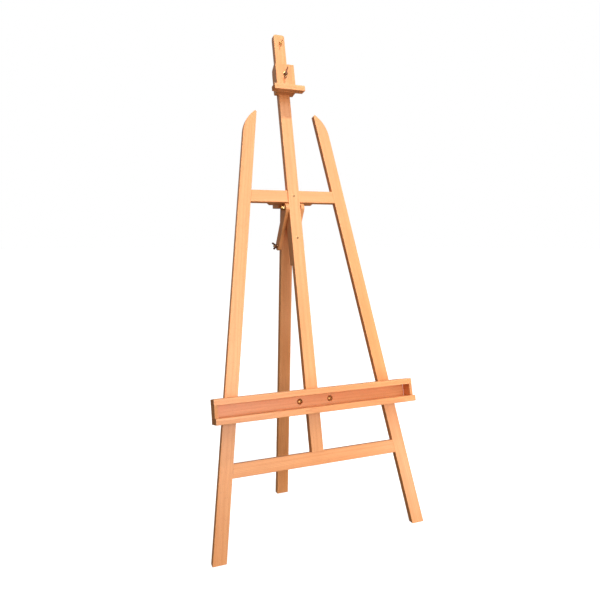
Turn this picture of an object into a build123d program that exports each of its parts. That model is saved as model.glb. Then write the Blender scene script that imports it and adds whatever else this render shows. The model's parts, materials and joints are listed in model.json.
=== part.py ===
from build123d import *
import os
from math import atan2, cos, degrees, hypot, radians, sin, tan

# A wooden lyre easel: two splayed front legs and a fixed mast form a frame that
# leans back, and a single rear leg props it through a pair of hinge links.
# Sizes are millimetres, angles are degrees.  X is to the right, Y to the back,
# Z up.  Most pieces are drawn in the plane of the leaning frame, where
# x is across, s runs up the frame from the floor, and d stands out in front of
# the front faces of the two legs.

# --- Stance -------------------------------------------------------------------
LEAN = 14.0                  # how far the frame leans back
FOOT_HALF_SPREAD = 358.8     # leg centre line at the floor
SPLAY = 8.36                 # each front leg leans inwards by this

# --- Front legs and crossbars ---------------------------------------------------
LEG_WIDTH = 45.0
LEG_THICKNESS = 21.2
TIP_START = 1445.0           # where the outer edge starts to curve in
TIP_RADIUS = 125.0
TIP_ARC = 46.5
TIP_NOSE = 5.0
UPPER_BAR = (1166.8, 1211.2)     # s of the bottom and top edges
LOWER_BAR = (247.0, 291.2)
DOWEL_RADIUS = 4.0
DOWEL_LENGTH = 50.0
DOWEL_INSET = 12.0           # from a crossbar's edge to its dowel

# --- Mast -----------------------------------------------------------------------
MAST_HALF = 22.0
MAST_FRONT = 4.0
MAST_BACK = -20.0
MAST_TOP = 1832.0
MAST_CORNER = 9.0
MAST_BACK_CHAMFER = (22.0, 7.0)  # down the mast, and through its thickness
LAP = -8.0                   # mast and upper crossbar are halved at this depth
MAST_DOWEL_X = 10.0
MAST_SCREW_S = (1189.0, 1033.0)   # the two screws in the mast's face
MAST_SCREW_LENGTHS = (22.0, 38.0)
MAST_SCREW_HEAD = 9.0

# --- Hinge of the rear leg --------------------------------------------------------
BATTEN_HALF = 96.0
BATTEN_THICKNESS = 22.0
BATTEN_CHAMFER = 14.0
PIVOT_S, PIVOT_D = 1147.0, -8.0
LINK_WIDTH = 34.0
LINK_INNER, LINK_OUTER = 22.8, 36.0
LOCK_HEIGHT = 972.0          # height of the lock bolt above the floor
REAR_LEG_HALF = 22.5
REAR_LEG_THICKNESS = 21.4
REAR_FOOT_Y = 403.3          # front face of the rear leg at the floor
REAR_LEAN = 2.97             # the rear leg leans forward by this
REAR_TOP = 1112.0
STOP_GAP = 0.4               # between the leg's head and the stop blocks
STOP_BLOCK_X = (15.0, 42.0)
STOP_BLOCK_BOTTOM, STOP_BLOCK_TOP = 1171.8, 1206.0   # s of its ends on the batten
STOP_BLOCK_DEPTH = 42.0
STOP_BLOCK_BACK = 395.0
STOP_BLOCK_TOE = (5.0, 16.0)     # how far it reaches in front of the leg, and its height there
STRIP_S = (940.0, 1166.0)    # stiffening strip behind the mast
STRIP_BACK = -38.0

# --- Tray -------------------------------------------------------------------------
TRAY_HALF = 359.8
TRAY_BOTTOM, TRAY_TOP = 422.7, 501.0
RAIL_THICKNESS, RAIL_FRONT = 18.9, 66.2
LEDGE_THICKNESS, LEDGE_FRONT = 19.8, 80.9
PANEL_FRONT = 22.0
END_THICKNESS = 11.0
TRAY_BOLT_X, TRAY_BOLT_S = 56.0, 461.8
COUNTERBORE_RADIUS, COUNTERBORE_DEPTH = 10.0, 6.5
CLAMP_HALF = 76.0
CLAMP_HALF_HEIGHT = 21.0
CLAMP_BACK = -42.5
TRAY_SCREW_X = (90.0, 210.0, 320.0)

# --- Upper canvas holder ------------------------------------------------------------
HOLDER_HALF = 37.0
HOLDER_BOTTOM, HOLDER_TOP = 1584.0, 1695.0
HOLDER_FRONT, HOLDER_BACK = 34.0, -8.0
HOLDER_CHAMFER = (15.0, 23.0)    # down the block, and through its depth
KEEPER_S = (1602.0, 1678.0)
KEEPER_BACK, KEEPER_BACK_HALF = -29.0, 28.7
LIP_HALF, LIP_FRONT = 59.7, 66.0
LIP_S = (1576.0, 1597.0)
LIP_RISE = 3.0               # the lip's underside slopes up by this towards its back
CLAMP_SCREW_S = 1654.0
TOP_SCREW_X, TOP_SCREW_S = 4.0, 1797.0
TOP_SCREW_DEPTH = 14.0

# --- Fits and hardware ----------------------------------------------------------------
SLIDE_GAP = 0.4              # round the mast, for the pieces that slide on it
RUNNING_GAP = 0.05           # round a bolt or a dowel
FACE_GAP = 0.1               # under a bolt head or a washer
EASE = 1.6                   # eased edge of the timber
BOLT_RADIUS = 4.0
BOLT_HEAD = (9.5, 5.5)       # radius and height of a domed head
WASHER = (8.5, 1.6)
CAP_NUT = (6.5, 6.0, 14.0)   # half the width across flats, height of the hexagon, whole height
CAP_NUT_DEPTH = 9.0          # how far a bolt goes into it
SHANK, HEAD = 4.0, 8.0       # diameters of a wood screw
BOLT_TAIL = 13.0             # a bolt's length beyond its wing nut's seat
WING_HUB = 8.0               # radius of a wing nut's hub on a tray bolt
LOCK_HUB = 6.8
WING_TILT = 35.0
TOP_SCREW_RADIUS, TOP_SCREW_HUB, TOP_SCREW_TURN = 3.0, 6.0, 60.0
CLAMP_SCREW_RADIUS, CLAMP_SCREW_HUB, CLAMP_SCREW_TURN = 5.0, 7.0, 72.0
UPRIGHT_WINGS = (1.75, 1.85)     # out and up to the middle of a wing's tip, in hub radii
SPREAD_WINGS = (3.3, 1.15)


# --- Shared geometry --------------------------------------------------------------------
FRAME = Plane(origin=(0, 0, 0), x_dir=(1, 0, 0), z_dir=(0, -cos(radians(LEAN)), sin(radians(LEAN))))
ALONG_X = Rot(0, 90, 0)      # turns a piece drawn along Z to lie along X
BACKWARDS = Rot(180, 0, 0)   # turns a piece drawn along Z to point backwards


def in_frame(shape):
    """Move a shape from frame coordinates (x, s, d) to the easel's own."""
    return FRAME.location * shape


def frame_point(s, d):
    """Y and Z of a point in the plane of the frame."""
    lean = radians(LEAN)
    return s * sin(lean) - d * cos(lean), s * cos(lean) + d * sin(lean)


def bar(x, s, d):
    """A rectangular bar between the given limits, in frame coordinates."""
    size = (x[1] - x[0], s[1] - s[0], d[1] - d[0])
    return Pos(x[0], s[0], d[0]) * Box(*size, align=(Align.MIN, Align.MIN, Align.MIN))


def both_ways(half):
    return (-half, half)


def eased(shape, shortest=60.0, radius=EASE):
    """Round over every edge that is longer than shortest."""
    return fillet([e for e in shape.edges() if e.length > shortest], radius)


def rod(radius, start, end):
    """A round rod along Z from start to end."""
    return Pos(0, 0, start) * Cylinder(radius, end - start, align=(Align.CENTER, Align.CENTER, Align.MIN))


def hole(radius, start, end):
    return rod(radius + RUNNING_GAP, start, end)


def leg_inner_x(s):
    """Inner edge of a front leg at height s."""
    return FOOT_HALF_SPREAD - s * tan(radians(SPLAY)) - LEG_WIDTH / 2 / cos(radians(SPLAY))


def leg_profile(x, outline):
    """A shape with the given outline of (Y, Z) points, between two values of x."""
    face = Plane.YZ * make_face(Polyline(*outline, close=True))
    return Pos(x[0], 0, 0) * extrude(face, x[1] - x[0])


# --- Fasteners, all drawn along Z -----------------------------------------------------------
def countersunk(length, shank, head, gap=0.0):
    """Body of a wood screw: its head is at Z = 0 and its point is below."""
    cone = (head - shank) / 2
    top = Cone(shank / 2 + gap, head / 2 + gap, cone, align=(Align.CENTER, Align.CENTER, Align.MAX))
    return top + rod(shank / 2 + gap, -length, -cone + gap)


def wood_screw(length, shank=SHANK, head=HEAD):
    slot = Box(head, head / 8, head / 5)
    return countersunk(length, shank, head) - slot


def screw_hole(length, shank=SHANK, head=HEAD):
    return countersunk(length + 0.5, shank, head, RUNNING_GAP)


def domed_bolt(length, radius=BOLT_RADIUS):
    """Carriage bolt with its head standing on Z = 0 and its shank below."""
    head_radius, head_height = BOLT_HEAD
    sphere_radius = (head_radius ** 2 + head_height ** 2) / (2 * head_height)
    dome = Pos(0, 0, head_height - sphere_radius) * Sphere(sphere_radius)
    dome &= rod(head_radius, 0, head_height)
    return dome + rod(radius, -length, 0)


def washer():
    return rod(WASHER[0], 0, WASHER[1]) - hole(BOLT_RADIUS, -1, WASHER[1] + 1)


def cap_nut():
    """Hexagon nut closed by a dome, standing on Z = 0."""
    half_width, hexagon, height = CAP_NUT
    dome_radius = 0.9 * half_width
    ball = height - dome_radius
    body = extrude(RegularPolygon(half_width, 6, major_radius=False), hexagon)
    body += rod(dome_radius, 0, ball) + Pos(0, 0, ball) * Sphere(dome_radius)
    return body - hole(BOLT_RADIUS, -1, CAP_NUT_DEPTH + 1)


def wings(hub, reach=UPRIGHT_WINGS):
    """Tapered hub on Z = 0 with two rounded wings, all in proportion to the hub's radius."""
    lobe = Pos(reach[0] * hub, reach[1] * hub) * Circle(0.62 * hub)
    root = Pos(0.55 * hub, 0.55 * hub) * Circle(0.42 * hub)
    outline = Plane.XZ * make_hull(lobe.edges() + root.edges())
    wing = extrude(outline, 0.19 * hub, both=True)
    wing = fillet(wing.edges().filter_by(GeomType.CIRCLE), 0.12 * hub)
    barrel = Cone(hub, 0.78 * hub, 1.3 * hub, align=(Align.CENTER, Align.CENTER, Align.MIN))
    barrel = fillet(barrel.edges().sort_by(Axis.Z)[-1], 0.15 * hub)
    return barrel + wing + mirror(wing, about=Plane.YZ)


def wing_nut(hub):
    return wings(hub) - hole(BOLT_RADIUS, -1, 3 * hub)


def wing_screw(hub, radius, length, reach=UPRIGHT_WINGS):
    return wings(hub, reach) + rod(radius, -length, hub)


# --- Placing helpers -------------------------------------------------------------------------
def facing_front(x, s, d, shape):
    """Stand a fastener on a face that looks forwards."""
    return in_frame(Pos(x, s, d) * shape)


def facing_back(x, s, d, shape):
    """Stand a fastener on a face that looks backwards."""
    return in_frame(Pos(x, s, d) * BACKWARDS * shape)


def facing_left(x, y, z, shape):
    return Pos(x, y, z) * Rot(0, -90, 0) * shape


def facing_right(x, y, z, shape):
    return Pos(x, y, z) * ALONG_X * shape


PIVOT_Y, PIVOT_Z = frame_point(PIVOT_S, PIVOT_D)
REAR_SLOPE = tan(radians(REAR_LEAN))
LOCK_Y = REAR_FOOT_Y + REAR_LEG_THICKNESS / 2 - REAR_SLOPE * LOCK_HEIGHT


# --- Front frame -------------------------------------------------------------------------------
def crossbar_dowel_places():
    """x and s of every dowel between a crossbar and a leg."""
    for low, high in (UPPER_BAR, LOWER_BAR):
        for s in (low + DOWEL_INSET, high - DOWEL_INSET):
            for side in (-1, 1):
                yield side * leg_inner_x(s), s


def crossbar_dowel(radius, extra=0.0):
    half = DOWEL_LENGTH / 2 + extra
    return [
        in_frame(Pos(x, s, -LEG_THICKNESS / 2) * ALONG_X * rod(radius, -half, half))
        for x, s in crossbar_dowel_places()
    ]


def front_leg(side):
    """A splayed leg with its foot cut level and its outer edge curved in at the tip."""
    half = LEG_WIDTH / 2
    below_floor = -LEG_WIDTH
    outer = Line((half, below_floor), (half, TIP_START))
    tip = JernArc(start=outer @ 1, tangent=(0, 1), radius=TIP_RADIUS, arc_size=TIP_ARC)
    nose = Line(tip @ 1, (-half, (tip @ 1).Y - TIP_NOSE))
    inner = Line(nose @ 1, (-half, below_floor))
    foot = Line(inner @ 1, outer @ 0)
    face = make_face([outer, tip, nose, inner, foot])
    leg = eased(Pos(0, 0, -LEG_THICKNESS) * extrude(face, LEG_THICKNESS))
    leg = in_frame(Pos(FOOT_HALF_SPREAD, 0, 0) * Rot(0, 0, SPLAY) * leg)
    leg -= Pos(FOOT_HALF_SPREAD, 0, -LEG_WIDTH) * Box(400, 400, 2 * LEG_WIDTH)
    if side < 0:
        leg = mirror(leg, about=Plane.YZ)
    for dowel_hole in crossbar_dowel(DOWEL_RADIUS + RUNNING_GAP, 1.0):
        leg -= dowel_hole
    return leg


def crossbar(limits):
    low, high = limits
    outline = [(-leg_inner_x(low), low), (leg_inner_x(low), low)]
    outline += [(leg_inner_x(high), high), (-leg_inner_x(high), high)]
    rail = Pos(0, 0, -LEG_THICKNESS) * extrude(make_face(Polyline(*outline, close=True)), LEG_THICKNESS)
    rail = in_frame(eased(rail))
    for dowel_hole in crossbar_dowel(DOWEL_RADIUS + RUNNING_GAP, 1.0):
        rail -= dowel_hole
    return rail


def mast_foot_dowels(radius, extra=0.0):
    half = DOWEL_LENGTH / 2 + extra
    return [
        in_frame(Pos(x, LOWER_BAR[1], MAST_BACK / 2) * Rot(-90, 0, 0) * rod(radius, -half, half))
        for x in (-MAST_DOWEL_X, MAST_DOWEL_X)
    ]


def mast_screws(make):
    return [
        facing_front(0, s, MAST_FRONT, make(length, SHANK, MAST_SCREW_HEAD))
        for s, length in zip(MAST_SCREW_S, MAST_SCREW_LENGTHS)
    ]


def lower_crossbar():
    rail = crossbar(LOWER_BAR)
    for dowel_hole in mast_foot_dowels(DOWEL_RADIUS + RUNNING_GAP, 1.0):
        rail -= dowel_hole
    return rail


def upper_crossbar():
    """The mast is let into its front, halfway through the joint."""
    rail = crossbar(UPPER_BAR)
    rail -= in_frame(bar(both_ways(MAST_HALF), (UPPER_BAR[0] - 1, UPPER_BAR[1] + 1), (LAP, 1)))
    for screw in mast_screws(screw_hole) + batten_screws(screw_hole):
        rail -= screw
    return rail


def mast():
    top = make_face(Polyline(
        (-MAST_HALF, LOWER_BAR[1]), (MAST_HALF, LOWER_BAR[1]),
        (MAST_HALF, MAST_TOP), (-MAST_HALF, MAST_TOP), close=True))
    top = fillet(top.vertices().group_by(Axis.Y)[-1], MAST_CORNER)
    body = Pos(0, 0, MAST_BACK) * extrude(top, MAST_FRONT - MAST_BACK)
    down, deep = MAST_BACK_CHAMFER
    wedge = make_face(Polyline(
        (MAST_TOP - down, MAST_BACK), (MAST_TOP, MAST_BACK + deep), (MAST_TOP + 1, MAST_BACK + deep),
        (MAST_TOP + 1, MAST_BACK - 1), (MAST_TOP - down, MAST_BACK - 1), close=True))
    body = eased(body)
    body -= extrude(Plane.YZ * wedge, 2 * MAST_HALF, both=True)
    body -= bar(both_ways(MAST_HALF + 1), UPPER_BAR, (MAST_BACK - 1, LAP))
    body = in_frame(body)
    body -= facing_right(0, PIVOT_Y, PIVOT_Z, hole(BOLT_RADIUS, -MAST_HALF - 1, MAST_HALF + 1))
    top_screw_hole = hole(TOP_SCREW_RADIUS, -TOP_SCREW_DEPTH - 1, 1)
    body -= facing_front(TOP_SCREW_X, TOP_SCREW_S, MAST_FRONT, top_screw_hole)
    for cutter in mast_foot_dowels(DOWEL_RADIUS + RUNNING_GAP, 1.0) + mast_screws(screw_hole):
        body -= cutter
    return body


def top_stop_screw():
    """Wing screw near the top of the mast that keeps the canvas holder on it."""
    screw = wing_screw(TOP_SCREW_HUB, TOP_SCREW_RADIUS, TOP_SCREW_DEPTH)
    return facing_front(TOP_SCREW_X, TOP_SCREW_S, MAST_FRONT, Rot(0, 0, TOP_SCREW_TURN) * screw)


# --- Hinge fixed to the frame --------------------------------------------------------------------
BATTEN_BACK = -LEG_THICKNESS - BATTEN_THICKNESS
BATTEN_SCREW_X = (58.0, 82.0)
BATTEN_SCREW_LENGTH = 36.0
STOP_BLOCK_SCREW_S = (1180.0, 1198.0)
STOP_BLOCK_SCREW_LENGTH = 48.0


def batten_screws(make):
    rows = (UPPER_BAR[0] + DOWEL_INSET, UPPER_BAR[1] - DOWEL_INSET)
    return [
        facing_back(side * x, s, BATTEN_BACK, make(BATTEN_SCREW_LENGTH))
        for x, s in zip(BATTEN_SCREW_X, rows) for side in (-1, 1)
    ]


def stop_block_screws(make):
    middle, head = sum(STOP_BLOCK_X) / 2, -LEG_THICKNESS - FACE_GAP
    return [
        facing_front(side * middle, s, head, make(STOP_BLOCK_SCREW_LENGTH))
        for side in (-1, 1) for s in STOP_BLOCK_SCREW_S
    ]


def hinge_batten():
    """Short rail behind the upper crossbar that carries the stop blocks."""
    low, high = UPPER_BAR
    ends = BATTEN_HALF - BATTEN_CHAMFER
    outline = [(-ends, low), (ends, low), (BATTEN_HALF, low + BATTEN_CHAMFER), (BATTEN_HALF, high)]
    outline += [(-BATTEN_HALF, high), (-BATTEN_HALF, low + BATTEN_CHAMFER)]
    batten = extrude(make_face(Polyline(*outline, close=True)), BATTEN_THICKNESS)
    batten = in_frame(Pos(0, 0, BATTEN_BACK) * eased(batten))
    for screw in batten_screws(screw_hole) + stop_block_screws(screw_hole):
        batten -= screw
    return batten


def stop_block(side):
    """Block behind the batten; the head of the rear leg comes up against its underside."""
    seat = REAR_TOP + STOP_GAP
    overlap, toe = STOP_BLOCK_TOE
    outline = [
        frame_point(STOP_BLOCK_BOTTOM, BATTEN_BACK),
        frame_point(STOP_BLOCK_TOP, BATTEN_BACK),
        frame_point(STOP_BLOCK_TOP, BATTEN_BACK - STOP_BLOCK_DEPTH),
        (STOP_BLOCK_BACK, seat + toe),
        (STOP_BLOCK_BACK, seat),
        (REAR_FOOT_Y - REAR_SLOPE * REAR_TOP - overlap, seat),
    ]
    block = eased(leg_profile(STOP_BLOCK_X, outline), 20.0)
    if side < 0:
        block = mirror(block, about=Plane.YZ)
    for screw in stop_block_screws(screw_hole):
        block -= screw
    return block


def backing_strip():
    """Strip behind the mast that stiffens it below the upper crossbar."""
    strip = in_frame(eased(bar(both_ways(MAST_HALF), STRIP_S, (STRIP_BACK, MAST_BACK))))
    for screw in mast_screws(screw_hole):
        strip -= screw
    return strip


# --- Links and rear leg --------------------------------------------------------------------------
NUT_SEAT_X = LINK_OUTER + 2 * FACE_GAP + WASHER[1]


def pivot_bolt():
    """Its head is on the right and its end is in the cap nut on the left."""
    length = LINK_OUTER + FACE_GAP + NUT_SEAT_X + CAP_NUT_DEPTH
    return facing_right(LINK_OUTER + FACE_GAP, PIVOT_Y, PIVOT_Z, domed_bolt(length))


def pivot_washer():
    return facing_left(-LINK_OUTER - FACE_GAP, PIVOT_Y, PIVOT_Z, washer())


def pivot_cap_nut():
    return facing_left(-NUT_SEAT_X, PIVOT_Y, PIVOT_Z, cap_nut())


def hinge_link(side):
    """Round-ended strap from the pivot bolt in the mast to the lock bolt in the rear leg."""
    run_y, run_z = LOCK_Y - PIVOT_Y, LOCK_HEIGHT - PIVOT_Z
    centre = ((LOCK_Y + PIVOT_Y) / 2, (LOCK_HEIGHT + PIVOT_Z) / 2)
    outline = Pos(*centre) * Rot(0, 0, degrees(atan2(run_z, run_y))) * SlotCenterToCenter(
        hypot(run_y, run_z), LINK_WIDTH)
    link = Pos(LINK_INNER, 0, 0) * extrude(Plane.YZ * outline, LINK_OUTER - LINK_INNER)
    link = fillet(link.edges().filter_by(Plane.YZ), EASE)
    for y, z in ((PIVOT_Y, PIVOT_Z), (LOCK_Y, LOCK_HEIGHT)):
        link -= facing_right(0, y, z, hole(BOLT_RADIUS, LINK_INNER - 1, LINK_OUTER + 1))
    return link if side > 0 else mirror(link, about=Plane.YZ)


def rear_leg():
    """Single prop with a level foot and a level head."""
    foot_front, head_front = REAR_FOOT_Y, REAR_FOOT_Y - REAR_SLOPE * REAR_TOP
    outline = [(foot_front, 0), (foot_front + REAR_LEG_THICKNESS, 0)]
    outline += [(head_front + REAR_LEG_THICKNESS, REAR_TOP), (head_front, REAR_TOP)]
    leg = eased(leg_profile(both_ways(REAR_LEG_HALF), outline))
    lock_hole = hole(BOLT_RADIUS, -REAR_LEG_HALF - 1, REAR_LEG_HALF + 1)
    return leg - facing_right(0, LOCK_Y, LOCK_HEIGHT, lock_hole)


def lock_bolt():
    length = LINK_OUTER + FACE_GAP + NUT_SEAT_X + BOLT_TAIL
    return facing_right(LINK_OUTER + FACE_GAP, LOCK_Y, LOCK_HEIGHT, domed_bolt(length))


def lock_washer():
    return facing_left(-LINK_OUTER - FACE_GAP, LOCK_Y, LOCK_HEIGHT, washer())


def lock_wing_nut():
    return facing_left(-NUT_SEAT_X, LOCK_Y, LOCK_HEIGHT, Rot(0, 0, WING_TILT) * wing_nut(LOCK_HUB))


# --- Tray ----------------------------------------------------------------------------------------
PANEL_BACK = MAST_FRONT + SLIDE_GAP
RAIL_BOTTOM = TRAY_TOP - RAIL_THICKNESS
LEDGE_TOP = TRAY_BOTTOM + LEDGE_THICKNESS
TRAY_NUT_D = CLAMP_BACK - 2 * FACE_GAP - WASHER[1]
TRAY_SCREW_LENGTH = 40.0


def tray_screws(make):
    """Screws through the back panel into the rail and the ledge."""
    rows = ((RAIL_BOTTOM + TRAY_TOP) / 2, (TRAY_BOTTOM + LEDGE_TOP) / 2)
    return [
        facing_back(side * x, s, PANEL_BACK, make(TRAY_SCREW_LENGTH))
        for s in rows for x in TRAY_SCREW_X for side in (-1, 1)
    ]


def tray_bolt_places():
    return ((-TRAY_BOLT_X, TRAY_BOLT_S), (TRAY_BOLT_X, TRAY_BOLT_S))


def tray_back_panel():
    inner = TRAY_HALF - END_THICKNESS
    panel = eased(bar(both_ways(inner), (TRAY_BOTTOM, TRAY_TOP), (PANEL_BACK, PANEL_FRONT)), 100.0)
    panel = in_frame(panel)
    for x, s in tray_bolt_places():
        panel -= facing_front(x, s, PANEL_FRONT, hole(BOLT_RADIUS, PANEL_BACK - PANEL_FRONT - 1, 1))
        panel -= facing_front(x, s, PANEL_FRONT, rod(COUNTERBORE_RADIUS, -COUNTERBORE_DEPTH, 1))
    for screw in tray_screws(screw_hole):
        panel -= screw
    return panel


def tray_rail(s, front):
    rail = in_frame(eased(bar(both_ways(TRAY_HALF), s, (PANEL_FRONT, front)), 100.0))
    for screw in tray_screws(screw_hole):
        rail -= screw
    return rail


def tray_end(side):
    x = sorted((side * (TRAY_HALF - END_THICKNESS), side * TRAY_HALF))
    return in_frame(eased(bar(x, (LEDGE_TOP, RAIL_BOTTOM), (PANEL_FRONT, RAIL_FRONT)), 39.0, 1.0))


def tray_bolts():
    seat = PANEL_FRONT - COUNTERBORE_DEPTH
    length = seat - TRAY_NUT_D + BOLT_TAIL
    return [facing_front(x, s, seat, domed_bolt(length)) for x, s in tray_bolt_places()]


def tray_clamp_block():
    """Bar behind the mast; the tray's two bolts pull it tight."""
    front = MAST_BACK - SLIDE_GAP
    s = (TRAY_BOLT_S - CLAMP_HALF_HEIGHT, TRAY_BOLT_S + CLAMP_HALF_HEIGHT)
    block = in_frame(eased(bar(both_ways(CLAMP_HALF), s, (CLAMP_BACK, front)), 20.0))
    for x, bolt_s in tray_bolt_places():
        block -= facing_front(x, bolt_s, CLAMP_BACK, hole(BOLT_RADIUS, -1, front - CLAMP_BACK + 1))
    return block


def tray_washers():
    return [facing_back(x, s, CLAMP_BACK - FACE_GAP, washer()) for x, s in tray_bolt_places()]


def tray_wing_nut(side):
    nut = Rot(0, 0, side * WING_TILT) * wing_nut(WING_HUB)
    return facing_back(side * TRAY_BOLT_X, TRAY_BOLT_S, TRAY_NUT_D, nut)


# --- Upper canvas holder ---------------------------------------------------------------------------
INSERT_RADIUS, INSERT_DEPTH = 7.0, 15.0
INSERT_FLANGE = (9.0, 1.5)
CHANNEL = both_ways(MAST_HALF + SLIDE_GAP)
KEEPER_SCREW_X, KEEPER_SCREW_LENGTH = 27.0, 42.0
KEEPER_SHANK, KEEPER_HEAD = 3.0, 5.0
KEEPER_SCREW_SINK = 3.0      # how deep the screws' heads sit in the keeper
LIP_SCREW_X, LIP_SCREW_S, LIP_SCREW_LENGTH = 14.0, 1591.0, 48.0


def at_keeper_screws(shape):
    """Copies of a shape at the seats of the keeper's four screws."""
    rows = (KEEPER_S[0] + DOWEL_INSET, KEEPER_S[1] - DOWEL_INSET)
    seat = KEEPER_BACK + KEEPER_SCREW_SINK
    return [facing_back(side * KEEPER_SCREW_X, s, seat, shape) for s in rows for side in (-1, 1)]


def keeper_screws(make):
    return at_keeper_screws(make(KEEPER_SCREW_LENGTH, KEEPER_SHANK, KEEPER_HEAD))


def lip_screws(make):
    return [
        facing_back(side * LIP_SCREW_X, LIP_SCREW_S, MAST_FRONT + SLIDE_GAP, make(LIP_SCREW_LENGTH))
        for side in (-1, 1)
    ]


def holder_block():
    """Grooved block that slides on the mast; its top back corner is cut off."""
    down, deep = HOLDER_CHAMFER
    outline = [(HOLDER_BOTTOM, HOLDER_BACK), (HOLDER_BOTTOM, HOLDER_FRONT), (HOLDER_TOP, HOLDER_FRONT)]
    outline += [(HOLDER_TOP, HOLDER_BACK + deep), (HOLDER_TOP - down, HOLDER_BACK)]
    side_face = Plane.YZ * make_face(Polyline(*outline, close=True))
    block = eased(extrude(side_face, HOLDER_HALF, both=True), 30.0)
    block -= bar(CHANNEL, (HOLDER_BOTTOM - 1, HOLDER_TOP + 1), (HOLDER_BACK - 1, MAST_FRONT + SLIDE_GAP))
    block = in_frame(block)
    bore = hole(INSERT_RADIUS, -INSERT_DEPTH, 1) + rod(CLAMP_SCREW_RADIUS + SLIDE_GAP, -HOLDER_FRONT, 0)
    block -= facing_front(0, CLAMP_SCREW_S, HOLDER_FRONT, bore)
    for screw in keeper_screws(screw_hole) + lip_screws(screw_hole):
        block -= screw
    return block


def holder_keeper():
    """Back half of the holder, closing the groove behind the mast."""
    half = HOLDER_HALF - 1
    back = KEEPER_BACK_HALF
    inner, floor_d = CHANNEL[1], MAST_BACK - SLIDE_GAP
    outline = [(-half, HOLDER_BACK), (-back, KEEPER_BACK), (back, KEEPER_BACK), (half, HOLDER_BACK)]
    outline += [(inner, HOLDER_BACK), (inner, floor_d), (-inner, floor_d), (-inner, HOLDER_BACK)]
    section = Plane.XZ * make_face(Polyline(*outline, close=True))
    keeper = in_frame(Pos(0, KEEPER_S[1], 0) * extrude(section, KEEPER_S[1] - KEEPER_S[0]))
    counterbore = rod(KEEPER_HEAD / 2 + FACE_GAP, 0, 2 * KEEPER_SCREW_SINK)
    for cutter in keeper_screws(screw_hole) + at_keeper_screws(counterbore):
        keeper -= cutter
    return keeper


def holder_lip():
    """Board whose underside rests on the top edge of a canvas."""
    low, high = LIP_S
    outline = [(low, LIP_FRONT), (high, LIP_FRONT), (high, HOLDER_FRONT), (low + LIP_RISE, HOLDER_FRONT)]
    end_face = Plane.YZ * make_face(Polyline(*outline, close=True))
    board = in_frame(eased(extrude(end_face, LIP_HALF, both=True), 20.0))
    for screw in lip_screws(screw_hole):
        board -= screw
    return board


def holder_insert():
    """Threaded brass bush for the clamp screw."""
    body = rod(INSERT_RADIUS, -INSERT_DEPTH, 0) + rod(INSERT_FLANGE[0], 0, INSERT_FLANGE[1])
    body -= hole(CLAMP_SCREW_RADIUS, -INSERT_DEPTH - 1, INSERT_FLANGE[1] + 1)
    return facing_front(0, CLAMP_SCREW_S, HOLDER_FRONT, body)


def holder_clamp_screw():
    seat = HOLDER_FRONT + INSERT_FLANGE[1] + FACE_GAP
    length = seat - MAST_FRONT - SLIDE_GAP
    screw = wing_screw(CLAMP_SCREW_HUB, CLAMP_SCREW_RADIUS, length, SPREAD_WINGS)
    return facing_front(0, CLAMP_SCREW_S, seat, Rot(0, 0, CLAMP_SCREW_TURN) * screw)


# --- Every node of the easel -------------------------------------------------------------------------
def group(solids):
    return Compound(children=[solid for shape in solids for solid in shape.solids()])


nodes = {
    "left_front_leg": front_leg(-1),
    "right_front_leg": front_leg(1),
    "upper_crossbar": upper_crossbar(),
    "lower_crossbar": lower_crossbar(),
    "crossbar_dowels": group(crossbar_dowel(DOWEL_RADIUS)),
    "mast": mast(),
    "mast_foot_dowels": group(mast_foot_dowels(DOWEL_RADIUS)),
    "mast_screws": group(mast_screws(wood_screw)),
    "top_stop_screw": top_stop_screw(),
    "hinge_batten": hinge_batten(),
    "batten_screws": group(batten_screws(wood_screw)),
    "left_stop_block": stop_block(-1),
    "right_stop_block": stop_block(1),
    "stop_block_screws": group(stop_block_screws(wood_screw)),
    "backing_strip": backing_strip(),
    "pivot_bolt": pivot_bolt(),
    "pivot_washer": pivot_washer(),
    "pivot_cap_nut": pivot_cap_nut(),
    "left_hinge_link": hinge_link(-1),
    "right_hinge_link": hinge_link(1),
    "rear_leg": rear_leg(),
    "lock_bolt": lock_bolt(),
    "lock_washer": lock_washer(),
    "lock_wing_nut": lock_wing_nut(),
    "tray_back_panel": tray_back_panel(),
    "tray_top_rail": tray_rail((RAIL_BOTTOM, TRAY_TOP), RAIL_FRONT),
    "tray_ledge": tray_rail((TRAY_BOTTOM, LEDGE_TOP), LEDGE_FRONT),
    "tray_left_end": tray_end(-1),
    "tray_right_end": tray_end(1),
    "tray_screws": group(tray_screws(wood_screw)),
    "tray_bolts": group(tray_bolts()),
    "tray_clamp_block": tray_clamp_block(),
    "tray_washers": group(tray_washers()),
    "tray_left_wing_nut": tray_wing_nut(-1),
    "tray_right_wing_nut": tray_wing_nut(1),
    "holder_block": holder_block(),
    "holder_keeper": holder_keeper(),
    "keeper_screws": group(keeper_screws(wood_screw)),
    "holder_lip": holder_lip(),
    "lip_screws": group(lip_screws(wood_screw)),
    "holder_insert": holder_insert(),
    "holder_clamp_screw": holder_clamp_screw(),
}

# The origin is on the floor, under the middle of the easel's bounding box.
depth = [limit for node in nodes.values() for limit in (node.bounding_box().min.Y, node.bounding_box().max.Y)]
TO_ORIGIN = Pos(0, -(min(depth) + max(depth)) / 2, 0)

os.makedirs("parts", exist_ok=True)
for name, node in nodes.items():
    export_step(TO_ORIGIN * node, f"parts/{name}.step")
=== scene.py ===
import json
from math import atan2, cos, pi, radians, sin

import bmesh
import bpy
import numpy as np
from mathutils import Matrix, Vector


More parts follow.
